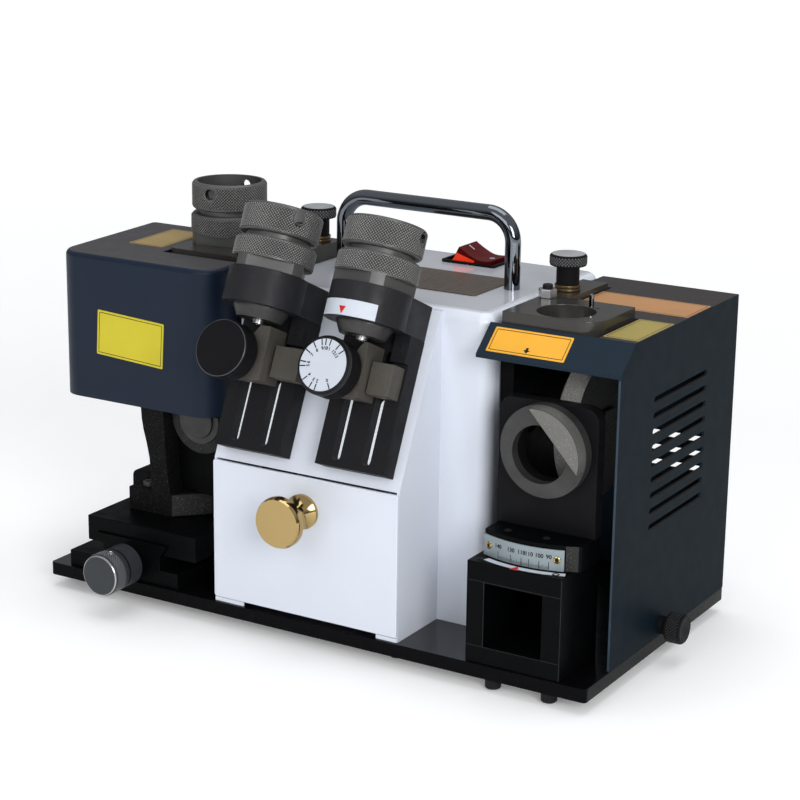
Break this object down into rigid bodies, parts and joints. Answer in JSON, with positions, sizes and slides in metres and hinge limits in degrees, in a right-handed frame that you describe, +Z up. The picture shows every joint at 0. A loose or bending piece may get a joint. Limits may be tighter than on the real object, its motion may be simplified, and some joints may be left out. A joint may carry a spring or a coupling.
{
  "type": "drill and end mill grinder",
  "caption": "Bench grinder for drills and end mills with slanted tool setting fixtures, collet chucks, a feed table, a swivelling guide ring, wheel covers, a drawer and a carrying handle.",
  "frame": {"origin": "on the table, below the centre of the base plate", "axes": "+X right along the front edge, +Y to the rear, +Z up"},
  "size_m": [0.4786, 0.275, 0.3123],
  "materials": {
    "base_paint": "satin black paint",
    "white_paint": "smooth bluish white powder coat",
    "navy_paint": "satin navy paint",
    "slate_paint": "satin slate paint",
    "black_steel": "black oxide",
    "cast_grey": "painted casting",
    "bare_steel": "ground",
    "chuck_steel": "knurled and blackened",
    "bright_chrome": "polished",
    "polished_brass": "polished",
    "knob_black": "moulded",
    "switch_red": "moulded",
    "dial_white": "printed",
    "scale_plate": "printed plate",
    "wheel_body": "turned body with a grit rim",
    "rubber_black": "moulded"
  },
  "bodies": {
    "frame": {"base_plate": "base_paint", "rubber_feet": "rubber_black", "housing": "white_paint", "cable_gland": "knob_black", "drawer_runners": "bare_steel", "motor_shelf": "bare_steel", "motor_body": "cast_grey", "carry_handle": "bright_chrome", "switch_bezel": "knob_black", "cover_lug": "bare_steel", "right_column": "black_steel", "right_seat": "black_steel", "portal_frame": "black_steel", "dovetail_base": "black_steel", "left_fixture": "black_steel", "right_fixture": "black_steel", "left_arm": "black_steel", "right_arm": "black_steel", "left_side_rest": "bare_steel", "right_side_rest": "bare_steel"},
    "drawer": {"drawer_front": "white_paint", "drawer_tray": "white_paint", "drawer_pull": "polished_brass"},
    "spindle": {"spindle_shaft": "bare_steel", "left_wheel": "wheel_body", "right_wheel": "wheel_body", "wheel_nuts": "bare_steel"},
    "feed": {"feed_knob": "black_steel", "feed_screw": "bare_steel"},
    "carriage": {"table_slide": "black_steel", "feed_nut": "polished_brass", "head_casting": "cast_grey", "boss_cap": "black_steel", "left_cover": "navy_paint", "left_seat": "black_steel"},
    "left_adjusting": {"left_adjuster": "black_steel"},
    "right_adjusting": {"right_adjuster": "black_steel"},
    "swivel": {"swivel_block": "black_steel", "swivel_bracket": "black_steel", "guide_ring": "black_steel", "angle_scale": "scale_plate"},
    "rocker": {"switch_rocker": "switch_red"},
    "wheel_cover": {"right_cover": "slate_paint"},
    "cover_screw": {"cover_thumbscrew": "bare_steel"},
    "left_setting": {"left_stop": "bare_steel"},
    "left_clamp": {"left_clamp_knob": "knob_black"},
    "right_setting": {"right_stop": "bare_steel"},
    "right_dial": {"right_dial_knob": "knob_black", "dial_face": "dial_white"},
    "chuck_1": {"chuck_body_1": "chuck_steel", "chuck_collet_1": "bare_steel"},
    "cap_1": {"chuck_cap_1": "chuck_steel"},
    "chuck_2": {"chuck_body_2": "chuck_steel", "chuck_collet_2": "bare_steel"},
    "cap_2": {"chuck_cap_2": "chuck_steel"},
    "chuck_3": {"chuck_body_3": "chuck_steel", "chuck_collet_3": "bare_steel"},
    "cap_3": {"chuck_cap_3": "chuck_steel"}
  },
  "joints": [
    {"name": "drawer_slide", "type": "slide", "parent": "frame", "child": "drawer", "axis": [0, -1, 0], "range_m": [0, 0.11]},
    {"name": "spindle_spin", "type": "hinge", "parent": "frame", "child": "spindle", "pos_m": [0, -0.0175, 0.169], "axis": [1, 0, 0], "continuous": true},
    {"name": "feed_turn", "type": "hinge", "parent": "frame", "child": "feed", "pos_m": [-0.15, -0.1115, 0.0333], "axis": [0, -1, 0], "range_deg": [-541, 541]},
    {"name": "carriage_feed", "type": "slide", "parent": "frame", "child": "carriage", "axis": [0, 1, 0], "range_m": [-0.003, 0.003]},
    {"name": "left_adjuster_turn", "type": "hinge", "parent": "carriage", "child": "left_adjusting", "pos_m": [-0.082, 0.0355, 0.2573], "axis": [0, 0, 1], "range_deg": [-180, 180]},
    {"name": "right_adjuster_turn", "type": "hinge", "parent": "frame", "child": "right_adjusting", "pos_m": [0.126, 0.038, 0.2455], "axis": [0, 0, 1], "range_deg": [-180, 180]},
    {"name": "swivel_turn", "type": "hinge", "parent": "frame", "child": "swivel", "pos_m": [0.1715, -0.0245, 0.0913], "axis": [0, 0, 1], "range_deg": [-14, 11]},
    {"name": "rocker_tip", "type": "hinge", "parent": "frame", "child": "rocker", "pos_m": [0.0255, 0.0875, 0.244], "axis": [0, -1, 0], "range_deg": [0, 26]},
    {"name": "wheel_cover_pull", "type": "slide", "parent": "frame", "child": "wheel_cover", "axis": [1, 0, 0], "range_m": [0, 0.12]},
    {"name": "cover_screw_turn", "type": "hinge", "parent": "wheel_cover", "child": "cover_screw", "pos_m": [0.2251, 0.003, 0.0257], "axis": [1, 0, 0], "range_deg": [-180, 180]},
    {"name": "left_stop_slide", "type": "slide", "parent": "frame", "child": "left_setting", "axis": [0, 0.4129, 0.9108], "range_m": [-0.02, 0]},
    {"name": "left_clamp_turn", "type": "hinge", "parent": "left_setting", "child": "left_clamp", "pos_m": [-0.051, -0.11718, 0.20698], "axis": [0, -0.9108, 0.4129], "range_deg": [-90, 90]},
    {"name": "right_stop_slide", "type": "slide", "parent": "frame", "child": "right_setting", "axis": [0, 0.4129, 0.9108], "range_m": [-0.009, 0]},
    {"name": "right_dial_turn", "type": "hinge", "parent": "right_setting", "child": "right_dial", "pos_m": [0.033, -0.11718, 0.20698], "axis": [0, -0.9108, 0.4129], "range_deg": [-181, 0]},
    {"name": "chuck_1_lift", "type": "slide", "parent": "frame", "child": "chuck_1", "axis": [0, 0.4129, 0.9108], "range_m": [0, 0.06]},
    {"name": "chuck_2_lift", "type": "slide", "parent": "frame", "child": "chuck_2", "axis": [0, 0.4129, 0.9108], "range_m": [0, 0.06]},
    {"name": "chuck_3_lift", "type": "slide", "parent": "carriage", "child": "chuck_3", "axis": [0, 0, 1], "range_m": [0, 0.06]},
    {"name": "cap_1_turn", "type": "hinge", "parent": "chuck_1", "child": "cap_1", "pos_m": [-0.039, -0.09197, 0.25968], "axis": [0, 0.4129, 0.9108], "continuous": true},
    {"name": "cap_2_turn", "type": "hinge", "parent": "chuck_2", "child": "cap_2", "pos_m": [0.045, -0.09197, 0.25968], "axis": [0, 0.4129, 0.9108], "continuous": true},
    {"name": "cap_3_turn", "type": "hinge", "parent": "chuck_3", "child": "cap_3", "pos_m": [-0.1363, -0.0025, 0.2573], "axis": [0, 0, 1], "continuous": true}
  ],
  "couplings": [
    {"joint": "feed_turn", "follows": "carriage_feed", "rad_per_m": 3141.6},
    {"joint": "right_dial_turn", "follows": "right_stop_slide", "rad_per_m": 349.07}
  ]
}
